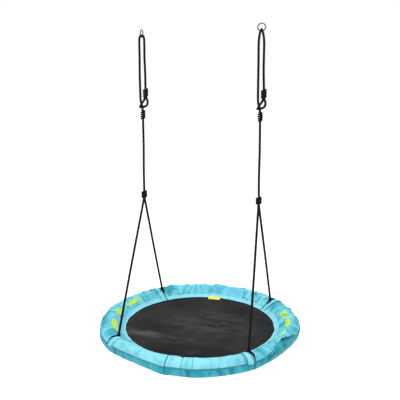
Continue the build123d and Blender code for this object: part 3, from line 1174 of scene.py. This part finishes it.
def top_fabric(name, start, end):
    """The fabric of one top panel, with painted shadow lines at its own seams, painted shade in its hollows, and its
    print.
    """
    seam_shadows = [("along", *row) for row in on_rim(((start, 0.006, 0.8), (end, 0.006, 0.8)))]
    seam_shadows.append(("across", seam_run, 0.0055, 0.85))
    shades = on_rim(hollow_shades[name])
    if name == "front":
        seam_shadows += [("along", *row) for row in on_rim(front_shadow_lines)]
        # The front sleeve's fabric is a lighter copy of the others: painted light on the front, which faces the
        # lamps.
        return fabric("front_sleeve_fabric", turquoise_lit, (0.225, 0.625, 0.730), turquoise, seam_shadows, shades)
    return fabric(
        f"{name}_sleeve_fabric", turquoise_lit, turquoise, turquoise_shade, seam_shadows, shades, band_run,
        on_rim(print_strokes[name]),
    )


def make_cover():
    thread = thread_look()
    # Side fabric in a darker teal, partly the wall panel's own colour and partly painted shade on the outer wall,
    # with painted shadow lines along its top edge under the top panel, down the front seam and beside the front right
    # slit, and painted shade in the gaping fold on the front right.
    side = fabric(
        "side_fabric", (0.085, 0.470, 0.560), teal, teal_shade,
        [("across", 0.0, 0.0060, 0.9)]
        + [("along", *row) for row in on_rim(((267.4, 0.0035, 0.7), (313.6, 0.006, 0.8)))],
        on_rim(((345.0, 0.075, 0.009, 0.020, 1.0), (326.0, 0.050, 0.026, 0.010, 0.8))),
    )
    under = fabric("underside_fabric", (0.070, 0.400, 0.470), (0.050, 0.330, 0.400), teal_shade)
    gap = 0.06
    collider = foam_collider()
    for k, name in enumerate(sides):
        turn = 360.0 if k == 3 else 0.0
        slit, next_slit = slit_angles[k], slit_angles[(k + 1) % 4]
        start, end = slit + gap, next_slit - gap + turn
        material = top_fabric(name, slit, next_slit + turn)
        points, run = make_top(name, start, end, material, fullness[name], 3.0 + 7.0 * k)
        make_side(name, start, end, side, 40.0 + k)
        rows = (("hem", 0.006),) if name == "front" else (("hem", 0.006), ("band", band_run))
        for label, distance in rows:
            line, ups = row_at(points, run, distance)
            stitch_row(f"{name}_{label}_stitches", line, ups, thread, "cover_fabric")
    bpy.data.objects.remove(collider)
    make_underside(under)


def make_flaps():
    """Binding strip over the front side of each rope slit."""
    width = math.radians(4.15) * tube_centre
    # Painted shadow lines along both edges of the strip.
    seam_shadows = (("along", 0.0, 0.0060, 0.95), ("along", width, 0.0062, 0.95))
    cloth = fabric("flap_fabric", turquoise_lit, (0.225, 0.650, 0.770), turquoise, seam_shadows)
    thread = thread_look()
    columns, rows = 9, 33
    share, across = unit_grid(columns, rows)
    low, high = band_run * 0.4, seam_run + 0.004
    run = low + (high - low) * across
    crown = 0.0016 + 0.0012 * np.sin(math.pi * share)
    for corner, slit, turn, below in zip(
        ("back_right", "back_left", "front_left", "front_right"),
        slit_angles,
        (-1, 1, 1, -1),
        ("right", "left", "front", "front"),
    ):
        near, far = slit + turn * 0.75, slit + turn * 4.9
        inset = np.degrees(slit_inset(run) / tube_centre) * (1 - share)
        angle = near + (far - near) * share + turn * inset
        points = surface_point(angle, run, crown)
        mesh = grid_mesh(corner, points, lambda a, b: (a * width / (columns - 1), run[a, b]))
        piece = add_object(f"{corner}_flap", mesh, cloth)
        thicken(piece, cloth_depth, 1.0)
        place(piece, "seat", "flap_fabric", f"{corner}_slit_flap")
        normals = skin_normals(points)
        for label, column in (("inner", 1), ("outer", columns - 2)):
            line = points[column] + normals[column] * cloth_depth
            stitch_row(f"{corner}_flap_{label}_stitches", line, normals[column], thread, "flap_fabric")


# ---- mat, tab and foam


def make_mat():
    """Taut round mat with shallow ripples, which sags a little at its middle."""
    rings, spokes = 46, 180
    radius = np.linspace(0.004, mat_radius, rings)
    angle = np.linspace(0, math.tau, spokes, endpoint=False)
    points = np.empty((spokes, rings, 3))
    for i, a in enumerate(angle):
        for j, r in enumerate(radius):
            x, y = r * math.cos(a), r * math.sin(a)
            ripple = noise.noise((x * 7.0, y * 7.0, 2.0)) * 0.0030 * (1 - (r / mat_radius) ** 4)
            sag = -0.0045 * (1 - (r / mat_radius) ** 2)
            points[i, j] = (x, y, mat_z - 0.0006 + ripple + sag)
    mesh = grid_mesh("mat", points, lambda a, b: (points[a % spokes, b, 0], points[a % spokes, b, 1]), True)
    add_faces(mesh, [[i * rings for i in range(spokes)]], flat_uvs=True)
    piece = add_object("woven_mat", mesh, mat_look())
    thicken(piece, 0.0018, 0.0, 0)
    place(piece, "seat", "mat_weave", "seat_mat")


def make_tab():
    """Blank yellow tape sewn at the back edge of the mat."""
    low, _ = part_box("label_tab")
    columns, rows = 17, 6
    start, arc = 87.2, 10.6
    radius = np.linspace(0.3540, 0.3712, rows)
    points = np.empty((columns, rows, 3))
    for i in range(columns):
        a = math.radians(start + arc * i / (columns - 1))
        for j, r in enumerate(radius):
            curl = 0.0095 * (j / (rows - 1)) ** 1.5 + 0.0004 * math.sin(i * 1.1)
            points[i, j] = (r * math.cos(a), r * math.sin(a), low.z + 0.0004 + curl)
    mesh = grid_mesh("tab", points, lambda a, b: (a * 0.0042, b * 0.0033))
    piece = add_object("yellow_tab", mesh, tab_look())
    thicken(piece, 0.0009, 1.0)
    place(piece, "seat", "label_fabric", "label_tab")


def make_foam():
    """Split foam tube on each quarter of the frame, its lengthwise cut turned to the bottom."""
    cloth = foam_look()
    loop_angles = (-47.0, 47.0, 133.0, 227.0, 313.0)
    clear = math.degrees(0.015 / tube_centre)
    cut_half = math.radians(3.0)
    round_turn = np.linspace(-math.pi / 2 + cut_half, 1.5 * math.pi - cut_half, 33)
    for k, name in enumerate(("right", "back", "left", "front")):
        start = loop_angles[k] + clear
        end = loop_angles[k + 1] - clear
        columns = 61
        section = [(foam_radius, t) for t in round_turn] + [(foam_bore, t) for t in round_turn[::-1]]
        points = np.empty((columns, len(section), 3))
        for i in range(columns):
            a = math.radians(start + (end - start) * i / (columns - 1))
            for j, (reach, t) in enumerate(section):
                dent = 0.0004 * noise.noise((a * 18, t * 2.0, k * 5.0)) if reach == foam_radius else 0.0
                r = tube_centre + (reach + dent) * math.cos(t)
                points[i, j] = (r * math.cos(a), r * math.sin(a), rim_z + (reach + dent) * math.sin(t))
        mesh = grid_mesh("foam", points, lambda a, b: (a * 0.01, b * 0.005), False, True)
        count = len(section)
        add_faces(mesh, [
            [first + q for q in (j, j + 1, count - 2 - j, count - 1 - j)]
            for first in (0, (columns - 1) * count)
            for j in range(count // 2 - 1)
        ])
        piece = add_object(f"{name}_foam_tube", mesh, cloth)
        place(piece, "seat", "foam", f"{name}_foam_sleeve")


# ---- metal parts and floor


def finish_metal():
    """Better materials on the CAD parts that stay."""
    ring_steel = metal_look("blackened_steel", (0.030, 0.028, 0.028), (0.075, 0.070, 0.068), 0.28, 0.45, 0.012)
    tube_steel = metal_look("galvanised_steel", (0.36, 0.37, 0.38), (0.58, 0.59, 0.60), 0.35, 0.55, 0.020)
    bolt_steel = metal_look("zinc_plated_steel", (0.42, 0.40, 0.34), (0.62, 0.60, 0.55), 0.25, 0.42, 0.006)
    for name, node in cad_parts.items():
        if name.endswith("_ring"):
            finish = ring_steel
        elif name.endswith("_frame_tube"):
            finish = tube_steel
        elif name.endswith(("_joint_bolt", "_joint_nut")):
            finish = bolt_steel
        else:
            continue
        for slot in node.material_slots:
            slot.material = finish


def make_floor():
    look = Look(
        "pale_floor", Roughness=0.95, Specular_IOR_Level=0.0, Emission_Color=(1, 1, 1, 1), Emission_Strength=0.75
    )
    finish = look.finish(look.cloud(look.coords("Object"), 0.8, 0.80, 0.82)[1])
    bpy.ops.mesh.primitive_plane_add(size=60.0, location=(0, 0, cad_box[0].z - 0.55))
    floor = bpy.context.object
    floor.name = "floor"
    floor.data.materials.append(finish)


make_camera()
rope_material = rope_look()
make_ropes(rope_material)
make_legs(rope_material)
make_light()
make_floor()
make_mat()
make_tab()
make_foam()
make_cover()
make_flaps()
finish_metal()
